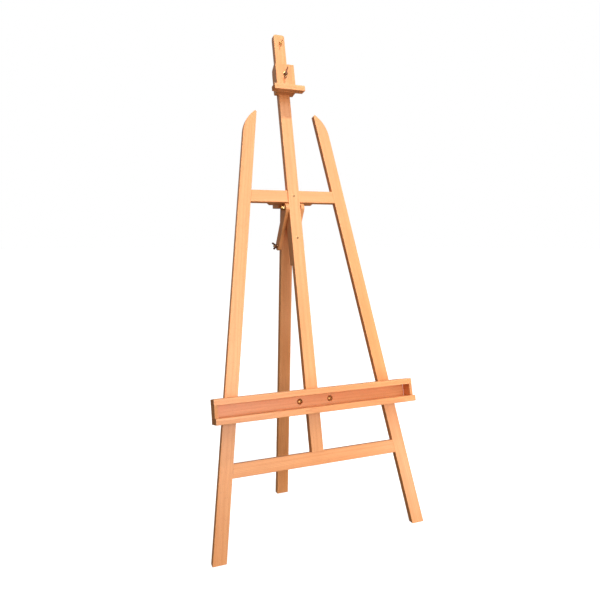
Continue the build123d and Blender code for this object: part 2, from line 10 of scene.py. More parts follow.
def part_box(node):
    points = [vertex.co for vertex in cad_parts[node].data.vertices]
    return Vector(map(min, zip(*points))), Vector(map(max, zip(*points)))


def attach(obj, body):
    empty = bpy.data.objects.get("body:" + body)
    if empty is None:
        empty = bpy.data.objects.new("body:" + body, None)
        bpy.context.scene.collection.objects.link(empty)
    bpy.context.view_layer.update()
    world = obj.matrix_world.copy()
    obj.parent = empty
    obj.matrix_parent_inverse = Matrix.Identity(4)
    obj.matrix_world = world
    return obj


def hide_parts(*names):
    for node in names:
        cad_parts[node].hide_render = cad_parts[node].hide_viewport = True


# A wooden lyre easel.  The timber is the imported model's own, with a beech finish
# laid along the grain of each piece; the bolts, nuts, washers and screws are
# remade here in full detail.  Lengths are metres unless a name ends in _MM.

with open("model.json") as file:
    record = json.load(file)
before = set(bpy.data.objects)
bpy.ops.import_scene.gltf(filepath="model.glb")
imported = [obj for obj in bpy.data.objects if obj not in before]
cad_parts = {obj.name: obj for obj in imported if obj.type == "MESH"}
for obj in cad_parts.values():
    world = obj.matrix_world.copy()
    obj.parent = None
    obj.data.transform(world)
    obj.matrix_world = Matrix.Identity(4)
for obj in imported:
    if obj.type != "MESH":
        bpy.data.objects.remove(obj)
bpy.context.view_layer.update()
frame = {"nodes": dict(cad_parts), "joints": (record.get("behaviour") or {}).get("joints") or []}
NODES = frame["nodes"]
JOINTS = {joint["name"]: joint for joint in frame["joints"]}

MM = 0.001
SPLAY = radians(8.36)            # how far each front leg leans inwards
ACROSS = Vector((1, 0, 0))
UP_FRAME = Vector(JOINTS["tray_slide"]["axis"]).normalized()
FRONT = ACROSS.cross(UP_FRAME)    # straight out of the frame's face
BEHIND = -FRONT
LEFT, RIGHT, UP = -ACROSS, ACROSS, Vector((0, 0, 1))
PIVOT = Vector(JOINTS["rear_leg_links"]["pos_m"])
LOCK = Vector(JOINTS["rear_leg_fold"]["pos_m"])


# --- Shader expressions ---------------------------------------------------------
class Wire:
    """One socket of a shader tree, which can be used in arithmetic."""

    def __init__(self, tree, socket=None):
        self.tree, self.socket = tree, socket

    def add(self, kind, settings=None, inputs=None, output=0):
        """Add any node: its settings first, then the values or wires of its sockets."""
        node = self.tree.nodes.new(kind)
        for key, value in (settings or {}).items():
            setattr(node, key, value)
        for key, value in (inputs or {}).items():
            if isinstance(value, Wire):
                self.tree.links.new(value.socket, node.inputs[key])
            else:
                node.inputs[key].default_value = value
        return Wire(self.tree, node.outputs[output])

    def math(self, operation, *others):
        values = dict(enumerate((self, *others)))
        return self.add("ShaderNodeMath", {"operation": operation}, values)

    def flipped(self, operation, other):
        return self.add("ShaderNodeMath", {"operation": operation}, {0: other, 1: self})

    def __add__(self, other):
        return self.math("ADD", other)

    def __sub__(self, other):
        return self.math("SUBTRACT", other)

    def __rsub__(self, other):
        return self.flipped("SUBTRACT", other)

    def __mul__(self, other):
        return self.math("MULTIPLY", other)

    def __truediv__(self, other):
        return self.math("DIVIDE", other)

    __radd__, __rmul__ = __add__, __mul__

    def clamped(self):
        return self.add("ShaderNodeClamp", None, {0: self})

    def rise(self, low, high):
        """0 below low, 1 above high, and a smooth step between."""
        settings = {"interpolation_type": "SMOOTHSTEP"}
        return self.add("ShaderNodeMapRange", settings, {0: self, 1: low, 2: high, 3: 0.0, 4: 1.0})

    def part(self, index):
        return self.add("ShaderNodeSeparateXYZ", None, {0: self}, index)

    def scaled(self, factors):
        return self.add("ShaderNodeVectorMath", {"operation": "MULTIPLY"}, {0: self, 1: factors})

    def moved(self, offset):
        return self.add("ShaderNodeVectorMath", {"operation": "ADD"}, {0: self, 1: offset})

    def noise(self, detail=2.0, roughness=0.5, scale=1.0):
        values = {"Vector": self, "Scale": scale, "Detail": detail, "Roughness": roughness}
        return self.add("ShaderNodeTexNoise", {"noise_dimensions": "3D"}, values)

    def blend(self, first, second, how="MIX"):
        """Mix two colours, with this wire as the factor."""
        settings = {"data_type": "RGBA", "blend_type": how}
        return self.add("ShaderNodeMix", settings, {0: self, 6: colour(first), 7: colour(second)}, 2)


def colour(value):
    """A wire as it is, or a colour with its alpha."""
    return value if isinstance(value, Wire) else (*value, 1.0)


def new_material(name, fixed):
    """An empty material with a principled shader, and the wire to start its tree from."""
    material = bpy.data.materials.new(name)
    material.use_nodes = True
    tree = material.node_tree
    shader = tree.nodes["Principled BSDF"]
    for key, value in fixed.items():
        shader.inputs[key].default_value = value
    return material, Wire(tree), shader


def feed(shader, start, **wires):
    """Link each wire to the shader's socket of that name."""
    for key, wire in wires.items():
        start.tree.links.new(wire.socket, shader.inputs[key.replace("_", " ")])


def middle(a, b, c):
    """The middle one of three values."""
    low, high = a.math("MINIMUM", b), a.math("MAXIMUM", b)
    return low.math("MAXIMUM", high.math("MINIMUM", c))


# --- Beech ------------------------------------------------------------------------
BEECH_PALE = (0.88, 0.40, 0.155)
BEECH_WARM = (0.80, 0.31, 0.098)
BEECH_LINE = (0.56, 0.165, 0.045)
BEECH_FLECK = (0.43, 0.125, 0.035)
BEECH_RUBBED = (0.90, 0.47, 0.21)
END_GRAIN = (0.56, 0.215, 0.070)
RING_MM = 2.8                   # between two growth rings
EDGE_MM = 2.6                   # how far in from a corner the rubbed edge reaches
PITH_MM = (45, 110)             # nearest and farthest that the pith lies from a board's middle
OFF_PITH = 0.012                # steepest slope between a board and its pith
SWAY_MM, RIPPLE_MM = 17.0, 2.4  # how far the rings wander, slowly and quickly
ANYWHERE_MM = 500               # each board is cut from its own place in the noise
REAR_LEG_THICKNESS = 21.5 * MM


def grain_frame(node, along, face):
    """Centre, turn and half-sizes of a piece, with its third axis along the grain."""
    along = along.normalized()
    face = (face - along * face.dot(along)).normalized()
    turn = Matrix((face.cross(along), face, along)).transposed()
    corners = np.array([v.co for v in NODES[node].data.vertices]) @ np.array(turn)
    low, high = corners.min(0), corners.max(0)
    centre = turn @ Vector((low + high) / 2)
    return centre, turn.to_euler(), Vector((high - low) / 2)


def beech(node, along, face=FRONT, tone=0.0):
    """Oiled beech whose rings, fibres and flecks run along one piece; tone warms and darkens it, which
    on pieces in shade is painted shade.
    """
    draw = np.random.default_rng(sum(map(ord, node)))
    centre, turn, half = grain_frame(node, along, face)
    material, start, shader = new_material("beech_" + node, {
        "Coat Roughness": 0.38, "Coat IOR": 1.46, "IOR": 1.5})
    place = start.add("ShaderNodeTexCoord", None, None, "Object")
    local = place.add("ShaderNodeMapping", {"vector_type": "TEXTURE"}, {
        "Vector": place, "Location": centre, "Rotation": turn, "Scale": (MM, MM, MM)})
    shifted = local.moved(tuple(draw.uniform(-ANYWHERE_MM, ANYWHERE_MM, 3)))

    # The board was sawn at some distance from the pith, and not quite along it.
    reach, bearing = draw.uniform(*PITH_MM), draw.uniform(0, 2 * pi)
    tilt = draw.uniform(-OFF_PITH, OFF_PITH, 2)
    sway = (shifted.scaled((0.011, 0.011, 0.0022)).noise(2.0) - 0.5) * SWAY_MM
    ripple = (shifted.scaled((0.05, 0.05, 0.009)).noise(2.0) - 0.5) * RIPPLE_MM
    length = local.part(2)
    across = local.part(0) + length * tilt[0] + sway - reach * cos(bearing)
    through = local.part(1) + length * tilt[1] + sway * 0.6 - reach * sin(bearing)
    radius = (across * across + through * through).math("SQRT") + ripple

    ring = (radius / RING_MM).math("FRACT")
    late = ring.rise(0.45, 0.93) * (1.0 - ring.rise(0.95, 1.0))
    years = start.add("ShaderNodeTexNoise", {"noise_dimensions": "1D"}, {
        "W": radius * 0.13 + draw.uniform(0, 99), "Scale": 1.0, "Detail": 3.0, "Roughness": 0.6})
    fibre = shifted.scaled((0.9, 0.9, 0.016)).noise(3.0, 0.62)
    cloud = shifted.scaled((0.013, 0.013, 0.0035)).noise(2.0)
    fleck_field = shifted.scaled((1.5, 2.3, 0.21)).noise(1.0, 0.4)
    fleck = fleck_field.rise(0.655, 0.72)
    pore = shifted.scaled((3.4, 3.4, 0.5)).noise(2.0, 0.6).rise(0.58, 0.72)

    normal = start.add("ShaderNodeTexCoord", None, None, "Normal")
    facing = normal.add("ShaderNodeVectorMath", {"operation": "DOT_PRODUCT"}, {
        0: normal, 1: tuple(along.normalized())}, "Value").math("ABSOLUTE")
    end = facing.rise(0.75, 0.93)

    gaps = [half[i] / MM - local.part(i).math("ABSOLUTE") for i in range(3)]
    edge = 1.0 - middle(*gaps).rise(0.3, EDGE_MM)
    rubbed = edge * shifted.scaled((0.05, 0.05, 0.02)).noise(3.0, 0.6).rise(0.36, 0.62)
    handled = shifted.scaled((0.009, 0.009, 0.0045)).noise(3.0, 0.6).rise(0.52, 0.75)

    # tone adds warmth and darkness: painted shade on pieces that sit in shade, elsewhere a difference
    # between boards.
    warm = (years.rise(0.36, 0.66) * 0.55 + cloud.rise(0.35, 0.7) * 0.35 + tone).clamped()
    body = warm.blend(BEECH_PALE, BEECH_WARM)
    body = (late * 0.34 * (1.0 - end * 0.2)).clamped().blend(body, BEECH_LINE)
    body = ((fibre - 0.38) * 0.85).clamped().blend(body, BEECH_LINE)
    body = (fleck * 0.55 * (1.0 - end)).blend(body, BEECH_FLECK)
    body = (end * 0.62).blend(body, END_GRAIN)
    body = (rubbed * 0.28).blend(body, BEECH_RUBBED)
    body = (handled * 0.10).blend(body, BEECH_LINE)

    sheen = (0.40 + late * 0.10 + (fibre - 0.5) * 0.16 + pore * 0.12 + end * 0.22
             - rubbed * 0.10 - handled * 0.06)
    height = fibre * 0.35 + late * 0.30 - fleck * 0.35 - pore * 0.45 + edge * 0.05
    bump = height.add("ShaderNodeBump", None, {
        "Strength": 0.55, "Distance": 0.00022, "Height": height})
    feed(shader, start, Base_Color=body, Roughness=sheen.clamped(), Normal=bump,
         Coat_Weight=(0.22 - end * 0.16 - handled * 0.05).clamped())
    return material


def paint(node, material):
    mesh = NODES[node].data
    mesh.materials.clear()
    mesh.materials.append(material)


def finish_timber():
    """Lay the grain of every timber piece along its length."""
    left = UP_FRAME * cos(SPLAY) + ACROSS * sin(SPLAY)
    right = UP_FRAME * cos(SPLAY) - ACROSS * sin(SPLAY)
    rear_low, rear_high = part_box("rear_leg")
    back = Vector((0, 1, 0))
    rear = Vector((0, rear_low.y - rear_high.y + REAR_LEG_THICKNESS, rear_high.z))
    # Tones warm and darken pieces. The larger ones, such as those of the hinge batten, stop blocks,
    # backing strip, tray clamp block and lower crossbar, are painted shade for pieces behind or under
    # others; the smallest vary board from board.
    upright = {"mast": 0.0, "backing_strip": 0.22, "holder_block": 0.12, "holder_keeper": 0.1}
    level = {"upper_crossbar": 0.05, "lower_crossbar": 0.12, "hinge_batten": 0.25,
             "tray_back_panel": 0.0, "tray_top_rail": 0.0, "tray_ledge": 0.06,
             "tray_clamp_block": 0.15, "holder_lip": 0.0, "crossbar_dowels": 0.1}
    for node, tone in upright.items():
        paint(node, beech(node, UP_FRAME, tone=tone))
    for node, tone in level.items():
        paint(node, beech(node, ACROSS, tone=tone))
    paint("left_front_leg", beech("left_front_leg", left, tone=0.03))
    paint("right_front_leg", beech("right_front_leg", right))
    paint("mast_foot_dowels", beech("mast_foot_dowels", UP_FRAME, tone=0.1))
    paint("rear_leg", beech("rear_leg", rear, back))
    # The stop blocks' tone is painted shade, for they sit under the batten.
    for side in ("left", "right"):
        paint(f"{side}_hinge_link", beech(f"{side}_hinge_link", LOCK - PIVOT, ACROSS, tone=0.1))
        paint(f"{side}_stop_block", beech(f"{side}_stop_block", back, ACROSS, tone=0.3))
        paint(f"tray_{side}_end", beech(f"tray_{side}_end", FRONT, ACROSS, tone=0.08))


# --- Metal finishes ------------------------------------------------------------------
def plated(name, plate, bare, dull, wear):
    """Plated steel: mottled plating, worn through to bright metal on the high edges."""
    material, start, shader = new_material(name, {"IOR": 2.2})
    place = start.add("ShaderNodeTexCoord", None, None, "Object")
    high = start.add("ShaderNodeAttribute", {"attribute_name": "wear"}, None, "Fac")
    mottle = place.noise(4.0, 0.65, 420.0)
    grit = place.noise(2.0, 0.5, 2600.0)
    scratch = place.scaled((900.0, 5200.0, 260.0)).noise(2.0, 0.5)
    worn = ((high * wear + (mottle - 0.5) * 0.9).rise(0.42, 0.78)).clamped()
    skin = mottle.rise(0.35, 0.7).blend(plate, dull)
    skin = worn.blend(skin, bare)
    rough = 0.44 - worn * 0.17 + (mottle - 0.5) * 0.24 + (scratch - 0.5) * 0.14
    height = grit * 0.5 + scratch * 0.35 - worn * 0.3
    bump = height.add("ShaderNodeBump", None, {
        "Strength": 0.35, "Distance": 0.00006, "Height": height})
    feed(shader, start, Base_Color=skin, Roughness=rough.clamped(), Normal=bump,
         Metallic=(0.86 + worn * 0.14).clamped())
    return material


BRONZED = plated("bronzed_steel", (0.185, 0.072, 0.034), (0.78, 0.47, 0.22),
                 (0.095, 0.036, 0.019), 0.75)
BRASSED = plated("brassed_steel", (0.66, 0.38, 0.12), (0.90, 0.66, 0.34), (0.40, 0.20, 0.06), 0.8)
SCREW_FINISH = plated("yellow_zinc_screw", (0.30, 0.155, 0.055), (0.66, 0.44, 0.20),
                      (0.17, 0.085, 0.034), 0.7)
BRASS = plated("turned_brass", (0.58, 0.37, 0.13), (0.82, 0.62, 0.30), (0.42, 0.25, 0.09), 0.6)


# --- Turned and cast hardware -----------------------------------------------------------
TURNED_SIDES = 64
FULL_WEAR = 0.30                # bend, in radians, at which plating wears the most
AIR = 0.1 * MM                  # left between two faces that touch

# Carriage bolts of 8 mm, with their washers and nuts.
BOLT_RADIUS = 4.0 * MM
THREAD_PITCH = 1.25 * MM
THREAD_DEPTH = 0.55 * MM
PIVOT_THREAD, LOCK_THREAD, TRAY_THREAD = 22 * MM, 26 * MM, 30 * MM      # threaded lengths
HEAD_RADIUS, HEAD_HEIGHT = 9.5 * MM, 5.5 * MM
NUT_BORE = 4.2 * MM
WASHER_RADIUS, WASHER_THICKNESS = 8.5 * MM, 1.6 * MM
CAP_NUT_HALF_WIDTH, CAP_NUT_HEXAGON, CAP_NUT_DEPTH = 6.5 * MM, 6.0 * MM, 10 * MM

# Wings: the tip lies so far out and up, in hub radii; then the hubs and how far each is turned.
UPRIGHT, SPREAD = (1.75, 1.86), (3.3, 1.15)
LOCK_HUB, TRAY_HUB, CLAMP_HUB, STOP_HUB = 6.8 * MM, 8 * MM, 7 * MM, 6 * MM
NUT_TURN, CLAMP_TURN, STOP_TURN = radians(35), radians(72), radians(60)
CLAMP_RADIUS, STOP_RADIUS, STOP_LENGTH = 5 * MM, 3 * MM, 14 * MM        # of the two wing screws

# Brass bush of the canvas holder, with its flange.
BUSH_BORE, BUSH_RADIUS, BUSH_LENGTH = 5.2 * MM, 6.9 * MM, 14 * MM
FLANGE_RADIUS, FLANGE = 9 * MM, 1.5 * MM


def mesh_piece(name, vertices, faces, smooth=True):
    mesh = bpy.data.meshes.new(name)
    mesh.from_pydata([tuple(v) for v in vertices], [], faces)
    mesh.validate()
    piece = bpy.data.objects.new(name, mesh)
    bpy.context.scene.collection.objects.link(piece)
    mesh.polygons.foreach_set("use_smooth", [smooth] * len(mesh.polygons))
    return piece


def turned(name, profile, sides=TURNED_SIDES):
    """Turn a profile of (radius, height) points about Z; a radius of 0 closes an end."""
    vertices, rows, faces = [], [], []
    for radius, height in profile:
        if radius == 0:
            rows.append([len(vertices)] * sides)
            vertices.append((0, 0, height))
        else:
            rows.append(range(len(vertices), len(vertices) + sides))
            vertices += [(radius * cos(2 * pi * k / sides), radius * sin(2 * pi * k / sides), height)
                         for k in range(sides)]
    for low, high in zip(rows, rows[1:]):
        for k in range(sides):
            n = (k + 1) % sides
            face = [low[k], low[n], high[n], high[k]]
            faces.append([v for i, v in enumerate(face) if v not in face[:i]])
    return mesh_piece(name, vertices, [f for f in faces if len(f) > 2])


def threaded_rod(name, length, radius=BOLT_RADIUS, pitch=THREAD_PITCH, depth=THREAD_DEPTH):
    """Rod along Z from 0 to length with a real helical thread and a chamfered end."""
    sides, per_turn = 32, 8
    rows = int(length / pitch * per_turn)
    chamfer = 1.2 * depth
    vertices, faces = [], []
    for row in range(rows + 1):
        height = length * row / rows
        for k in range(sides):
            # The crest and the root are flat, and the flanks between them straight.
            phase = (height / pitch - k / sides) % 1.0
            cut = depth * min(1.0, max(0.0, 1.25 * abs(2 * phase - 1) - 0.12))
            r = min(radius - cut, radius - chamfer + (length - height))
            vertices.append((r * cos(2 * pi * k / sides), r * sin(2 * pi * k / sides), height))
    for row in range(rows):
        for k in range(sides):
            n = (k + 1) % sides
            a, b = row * sides, (row + 1) * sides
            faces.append((a + k, a + n, b + n, b + k))
    faces.append(tuple(reversed(range(sides))))
    faces.append(tuple(range(rows * sides, (rows + 1) * sides)))
    return mesh_piece(name, vertices, faces)


def joined(name, pieces):
    """One object made of several, with their placings applied."""
    bpy.context.view_layer.update()
    whole = bmesh.new()
    for piece in pieces:
        copy = piece.data.copy()
        copy.transform(piece.matrix_world)
        whole.from_mesh(copy)
        bpy.data.meshes.remove(copy)
        bpy.data.objects.remove(piece)
    mesh = bpy.data.meshes.new(name)
    whole.to_mesh(mesh)
    whole.free()
    result = bpy.data.objects.new(name, mesh)
    bpy.context.scene.collection.objects.link(result)
    return result


def applied(piece):
    """Turn the piece with its modifiers into a plain mesh."""
    result = bpy.data.meshes.new_from_object(piece.evaluated_get(bpy.context.evaluated_depsgraph_get()))
    piece.modifiers.clear()
    piece.data = result
    return piece


def mark_wear(piece):
    """Store how strongly each point stands out, so that plating can wear there."""
    body = bmesh.new()
    body.from_mesh(piece.data)
    bmesh.ops.remove_doubles(body, verts=body.verts, dist=1e-7)
    body.normal_update()
    body.verts.ensure_lookup_table()
    sharp = {}
    for vertex in body.verts:
        bend = [e.calc_face_angle_signed(0.0) for e in vertex.link_edges if len(e.link_faces) == 2]
        sharp[tuple(round(c, 7) for c in vertex.co)] = max([0.0, *bend]) / FULL_WEAR
    body.free()
    values = [min(1.0, sharp.get(tuple(round(c, 7) for c in v.co), 0.0)) for v in piece.data.vertices]
    attribute = piece.data.attributes.new("wear", "FLOAT", "POINT")
    attribute.data.foreach_set("value", values)
    return piece


def hardware(piece, body, material, record_slot, *nodes):
    """Finish a piece: its wear, material, body, and the nodes that it stands for; the record slot is
    not used.
    """
    mark_wear(piece)
    piece.data.materials.clear()
    piece.data.materials.append(material)
    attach(piece, body)
    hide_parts(*nodes)


def faced(piece, origin, axis, level, turn=0.0):
    """Stand a piece made along +Z on origin: after a turn, its Z goes to axis and its X to level."""
    axis, level = Vector(axis).normalized(), Vector(level).normalized()
    aim = Matrix((level, axis.cross(level), axis)).transposed().to_4x4()
    piece.data.transform(Matrix.Translation(origin) @ aim @ Matrix.Rotation(turn, 4, "Z"))
    return piece


def reach_along(node, axis):
    """How far a node reaches along an axis from the origin."""
    return max(v.co.dot(axis) for v in NODES[node].data.vertices)


def at_level(point, axis, level):
    """The point moved along an axis to a level that is measured from the origin."""
    return point + axis * (level - point.dot(axis))


def at_x(point, x):
    """The point moved sideways to a given X."""
    return Vector((x, point.y, point.z))


def dome_profile():
    """Head of a carriage bolt, from the middle of its underside to its crown."""
    ball = (HEAD_RADIUS ** 2 + HEAD_HEIGHT ** 2) / (2 * HEAD_HEIGHT)
    low = atan2(HEAD_HEIGHT - ball, HEAD_RADIUS)
    arc = [(ball * cos(a), HEAD_HEIGHT - ball + ball * sin(a))
           for a in np.linspace(low + 0.07, pi / 2 - 0.02, 14)]
    return [(0, 0), (HEAD_RADIUS - 0.7 * MM, 0), (HEAD_RADIUS - 0.15 * MM, 0.12 * MM),
            (HEAD_RADIUS, 0.4 * MM), *arc, (0, HEAD_HEIGHT)]


def carriage_bolt(name, seat, axis, level, length, thread):
    """Domed bolt: a plain shank, then a thread that ends in a chamfer."""
    axis = Vector(axis).normalized()
    plain = length - thread
    head = faced(turned(name + "_head", dome_profile()), seat, axis, level)
    shank = turned(name + "_shank", [(0, -plain), (BOLT_RADIUS, -plain), (BOLT_RADIUS, 0), (0, 0)])
    faced(shank, seat, axis, level)
    end = faced(threaded_rod(name + "_thread", thread), seat - axis * plain, -axis, level)
    return joined(name, [head, shank, end])


def cap_nut(name, height):
    """Hexagon nut closed by a dome, standing on Z = 0, with a blind bore."""
    sides = 96
    half_width, hexagon, depth = CAP_NUT_HALF_WIDTH, CAP_NUT_HEXAGON, CAP_NUT_DEPTH
    dome = 0.9 * half_width
    ball = height - dome

    def row(radius, z, chamfer=0.0):
        """One ring of points: round, or at most the hexagon when radius is None."""
        points = []
        for k in range(sides):
            angle = 2 * pi * k / sides
            flat = half_width / cos(angle % (pi / 3) - pi / 6)
            r = flat if radius is None else radius
            drop = chamfer * max(0.0, flat / half_width - 1.0)
            points.append((r * cos(angle), r * sin(angle), z + drop))
        return points

    steep = 4.0 * MM
    rows = [row(0.01 * MM, depth), row(NUT_BORE, depth), row(NUT_BORE, 0.5 * MM),
            row(NUT_BORE + 0.5 * MM, 0.0), row(0.96 * half_width, 0.0), row(None, 0.15 * MM, steep),
            row(None, hexagon - 0.15 * MM, -steep), row(0.96 * half_width, hexagon),
            row(dome + 0.25 * MM, hexagon + 0.1 * MM), row(dome, hexagon + 0.5 * MM), row(dome, ball)]
    rows += [row(dome * cos(a), ball + dome * sin(a)) for a in np.linspace(0.12, pi / 2 - 0.04, 12)]
    vertices = [v for points in rows for v in points]
    faces = [(low + k, low + (k + 1) % sides, low + sides + (k + 1) % sides, low + sides + k)
             for low in range(0, (len(rows) - 1) * sides, sides) for k in range(sides)]
    last = (len(rows) - 1) * sides
    faces += [tuple(reversed(range(sides))), tuple(range(last, last + sides))]
    return mesh_piece(name, vertices, faces)


def ring(name, profile):
    """Turn a closed profile about Z into a ring."""
    return turned(name, [*profile, profile[0]])


def washer(name):
    """Flat washer on Z = 0, with its outer corners eased."""
    low, high, inner, outer = 0.0, WASHER_THICKNESS, NUT_BORE, WASHER_RADIUS
    ease = 0.25 * MM
    return ring(name, [(inner, low), (outer - ease, low), (outer, low + ease), (outer, high - ease),
                       (outer - ease, high), (inner + ease, high), (inner, high - ease)])


def wing(name, size, side, reach):
    """One wing: a leaf that leaves the hub low down and widens to a round lobe."""
    body = bmesh.new()
    root, sides = (0.52, 0.55), 28
    waist = ((root[0] + reach[0]) / 2, (root[1] + reach[1]) / 2)
    for (x, z), radius, half in ((root, 0.40, 0.27), (waist, 0.48, 0.19), (reach, 0.60, 0.17)):
        for k in range(sides):
            a = 2 * pi * k / sides
            for y, shrink in ((-half, 0.86), (-half * 0.5, 1.0), (half * 0.5, 1.0), (half, 0.86)):
                body.verts.new((side * size * (x + radius * shrink * cos(a)), size * y,
                                size * (z + radius * shrink * sin(a))))
    bmesh.ops.convex_hull(body, input=body.verts)
    loose = [v for v in body.verts if not v.link_faces]
    bmesh.ops.delete(body, geom=loose, context="VERTS")
    bmesh.ops.recalc_face_normals(body, faces=body.faces)
    mesh = bpy.data.meshes.new(name)
    body.to_mesh(mesh)
    body.free()
    piece = bpy.data.objects.new(name, mesh)
    bpy.context.scene.collection.objects.link(piece)
    return piece


def cast_wings(name, size, bore, reach=UPRIGHT):
    """Hub and two wings cast in one, with the soft fillets of a casting; a bore of 0 is none."""
    hub_profile = [(bore, 0), (0.98 * size, 0), (1.0 * size, 0.06 * size), (0.95 * size, 0.5 * size),
                   (0.80 * size, 1.22 * size), (0.70 * size, 1.30 * size), (bore, 1.30 * size)]
    hub = ring(name, hub_profile) if bore else turned(name, hub_profile)
    whole = joined(name, [hub, wing(name + "_a", size, 1, reach), wing(name + "_b", size, -1, reach)])
    remesh = whole.modifiers.new("cast", "REMESH")
    remesh.mode, remesh.voxel_size = "VOXEL", 0.042 * size
    soft = whole.modifiers.new("fettled", "SMOOTH")
    soft.factor, soft.iterations = 0.5, 7
    fewer = whole.modifiers.new("fewer", "DECIMATE")
    fewer.ratio = 0.35
    applied(whole)
    whole.data.polygons.foreach_set("use_smooth", [True] * len(whole.data.polygons))
    return whole


def wing_screw(name, size, radius, length, reach=UPRIGHT):
    """Wing screw: cast wings on a threaded shank that points down."""
    shank = threaded_rod(name + "_thread", length, radius, 0.3 * radius, 0.13 * radius)
    shank.data.transform(Matrix.Rotation(pi, 4, "X"))
    return joined(name, [cast_wings(name + "_wings", size, 0, reach), shank])


def fit_pivot(reach):
    """Pivot of the links: the bolt's head is on the right and its cap nut on the left."""
    nut_low, nut_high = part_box("pivot_cap_nut")
    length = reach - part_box("pivot_bolt")[0].x
    hardware(carriage_bolt("pivot_carriage_bolt", at_x(PIVOT, reach), RIGHT, UP, length, PIVOT_THREAD),
             "frame", BRONZED, "bronzed_steel", "pivot_bolt")
    hardware(faced(washer("pivot_round_washer"), at_x(PIVOT, -reach), LEFT, UP),
             "frame", BRASSED, "bronzed_steel", "pivot_washer")
    nut = cap_nut("pivot_domed_cap_nut", nut_high.x - nut_low.x)
    hardware(faced(nut, at_x(PIVOT, nut_high.x), LEFT, UP),
             "frame", BRASSED, "bronzed_steel", "pivot_cap_nut")


def fit_lock(reach):
    """Lock of the rear leg: the bolt's head is on the right and its wing nut on the left."""
    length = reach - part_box("lock_bolt")[0].x
    hardware(carriage_bolt("lock_carriage_bolt", at_x(LOCK, reach), RIGHT, UP, length, LOCK_THREAD),
             "rear_leg", BRONZED, "bronzed_steel", "lock_bolt")
    hardware(faced(washer("lock_round_washer"), at_x(LOCK, -reach), LEFT, UP),
             "rear_leg", BRONZED, "bronzed_steel", "lock_washer")
    nut_seat = at_x(LOCK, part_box("lock_wing_nut")[1].x)
    nut = cast_wings("lock_cast_wing_nut", LOCK_HUB, NUT_BORE)
    hardware(faced(nut, nut_seat, LEFT, UP, NUT_TURN),
             "lock_nut", BRONZED, "bronzed_steel", "lock_wing_nut")


def fit_tray():
    """Tray bolts, whose wing nuts are behind the clamp block."""
    block_back = reach_along("tray_clamp_block", BEHIND)
    head_level = reach_along("tray_bolts", FRONT) - HEAD_HEIGHT
    length = head_level + reach_along("tray_bolts", BEHIND)
    bolts, washers = [], []
    for side, name in ((-1, "left"), (1, "right")):
        on_axis = Vector(JOINTS[f"tray_{name}_wing_nut_turn"]["pos_m"])
        head_seat = at_level(on_axis, FRONT, head_level)
        bolts.append(carriage_bolt(name + "_bolt", head_seat, FRONT, ACROSS, length, TRAY_THREAD))
        washer_seat = at_level(on_axis, BEHIND, block_back + AIR)
        washers.append(faced(washer(name + "_washer"), washer_seat, BEHIND, ACROSS))
        nut_seat = at_level(on_axis, BEHIND, block_back + WASHER_THICKNESS + 2 * AIR)
        nut = cast_wings(f"tray_{name}_cast_wing_nut", TRAY_HUB, NUT_BORE)
        hardware(faced(nut, nut_seat, BEHIND, ACROSS, side * NUT_TURN),
                 f"tray_{name}_nut", BRONZED, "bronzed_steel", f"tray_{name}_wing_nut")
    hardware(joined("tray_carriage_bolts", bolts), "tray", BRASSED, "bronzed_steel", "tray_bolts")
    hardware(joined("tray_round_washers", washers), "tray", BRONZED, "bronzed_steel", "tray_washers")


def fit_holder():
    """Clamp screw of the canvas holder, in its brass bush."""
    block_face, mast_face = reach_along("holder_block", FRONT), reach_along("mast", FRONT)
    at = at_level(Vector(JOINTS["holder_clamp_screw_turn"]["pos_m"]), FRONT, block_face)
    bush = ring("holder_brass_bush", [
        (BUSH_BORE, -BUSH_LENGTH), (BUSH_RADIUS, -BUSH_LENGTH), (BUSH_RADIUS, 0),
        (FLANGE_RADIUS - 0.2 * MM, 0), (FLANGE_RADIUS, 0.2 * MM), (FLANGE_RADIUS, FLANGE - 0.3 * MM),
        (FLANGE_RADIUS - 0.3 * MM, FLANGE), (BUSH_BORE + 0.3 * MM, FLANGE),
        (BUSH_BORE, FLANGE - 0.3 * MM)])
    hardware(faced(bush, at, FRONT, ACROSS), "canvas_holder", BRASS, "brass_bush", "holder_insert")
    length = block_face + FLANGE - mast_face - 3 * AIR
    screw = wing_screw("holder_cast_wing_screw", CLAMP_HUB, CLAMP_RADIUS, length, SPREAD)
    hardware(faced(screw, at + FRONT * (FLANGE + AIR), FRONT, ACROSS, CLAMP_TURN),
             "clamp_screw", BRONZED, "bronzed_steel", "holder_clamp_screw")


def fit_top_stop():
    """Stop screw near the top of the mast."""
    at = at_level(Vector(JOINTS["top_stop_screw_turn"]["pos_m"]), FRONT, reach_along("mast", FRONT))
    screw = wing_screw("top_cast_wing_screw", STOP_HUB, STOP_RADIUS, STOP_LENGTH)
    hardware(faced(screw, at, FRONT, ACROSS, STOP_TURN),
             "stop_screw", BRASSED, "bronzed_steel", "top_stop_screw")


# --- Wood screws ------------------------------------------------------------------------
def seats_of(node, axis):
    """Where the head of each screw of a node sits."""
    body = bmesh.new()
    body.from_mesh(NODES[node].data)
    bmesh.ops.remove_doubles(body, verts=body.verts, dist=2e-6)
    left, seats = set(body.verts), []
    while left:
        island, edge = set(), [left.pop()]
        while edge:
            vertex = edge.pop()
            island.add(vertex)
            for link in vertex.link_edges:
                other = link.other_vert(vertex)
                if other in left:
                    left.discard(other)
                    edge.append(other)
        points = np.array([v.co for v in island])
        depth = points @ np.array(axis)
        head = points[depth > depth.max() - 0.3 * MM]
        middle_of_head = Vector((head.min(0) + head.max(0)) / 2)
        seats.append(middle_of_head + axis * (depth.max() - middle_of_head.dot(axis)))
    body.free()
    return sorted(seats, key=lambda p: (round(p.x, 4), round(p.z, 4)))


